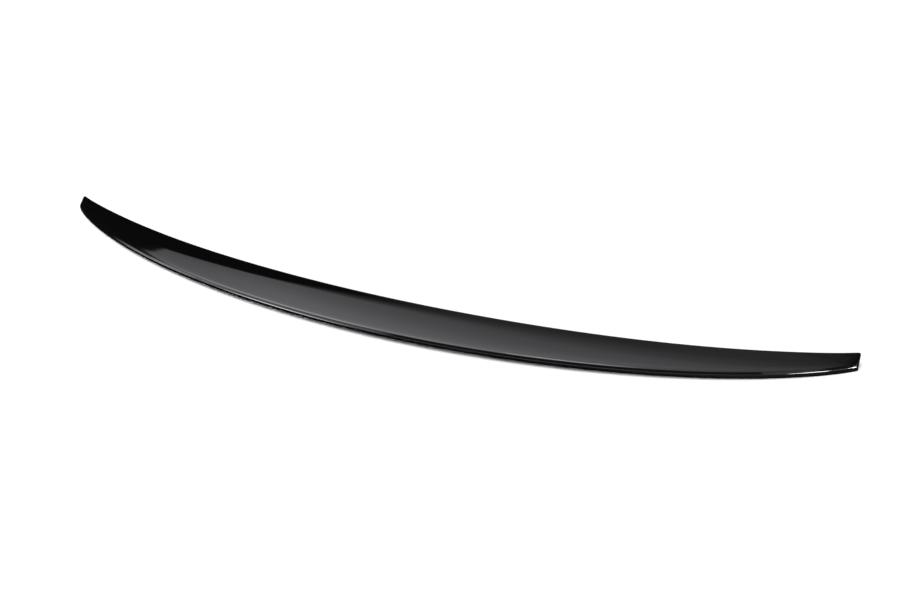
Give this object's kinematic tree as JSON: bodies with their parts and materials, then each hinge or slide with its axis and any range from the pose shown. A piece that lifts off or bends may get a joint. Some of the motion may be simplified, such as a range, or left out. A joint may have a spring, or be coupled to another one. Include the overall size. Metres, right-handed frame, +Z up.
{
  "type": "car rear spoiler",
  "caption": "Crescent lip spoiler for a car boot lid: one hollow gloss black moulding with a dished top, a raised crest and bonding lands below.",
  "frame": {"origin": "centre of the bounding box on the level plane that the foot rests on", "axes": "+X across the car along the spoiler's length, +Y towards the front of the car and the thin edge, +Z up"},
  "size_m": [1.2, 0.1704, 0.0198],
  "materials": {
    "gloss_black": "gloss"
  },
  "bodies": {
    "root": {"spoiler": "gloss_black"}
  },
  "joints": []
}
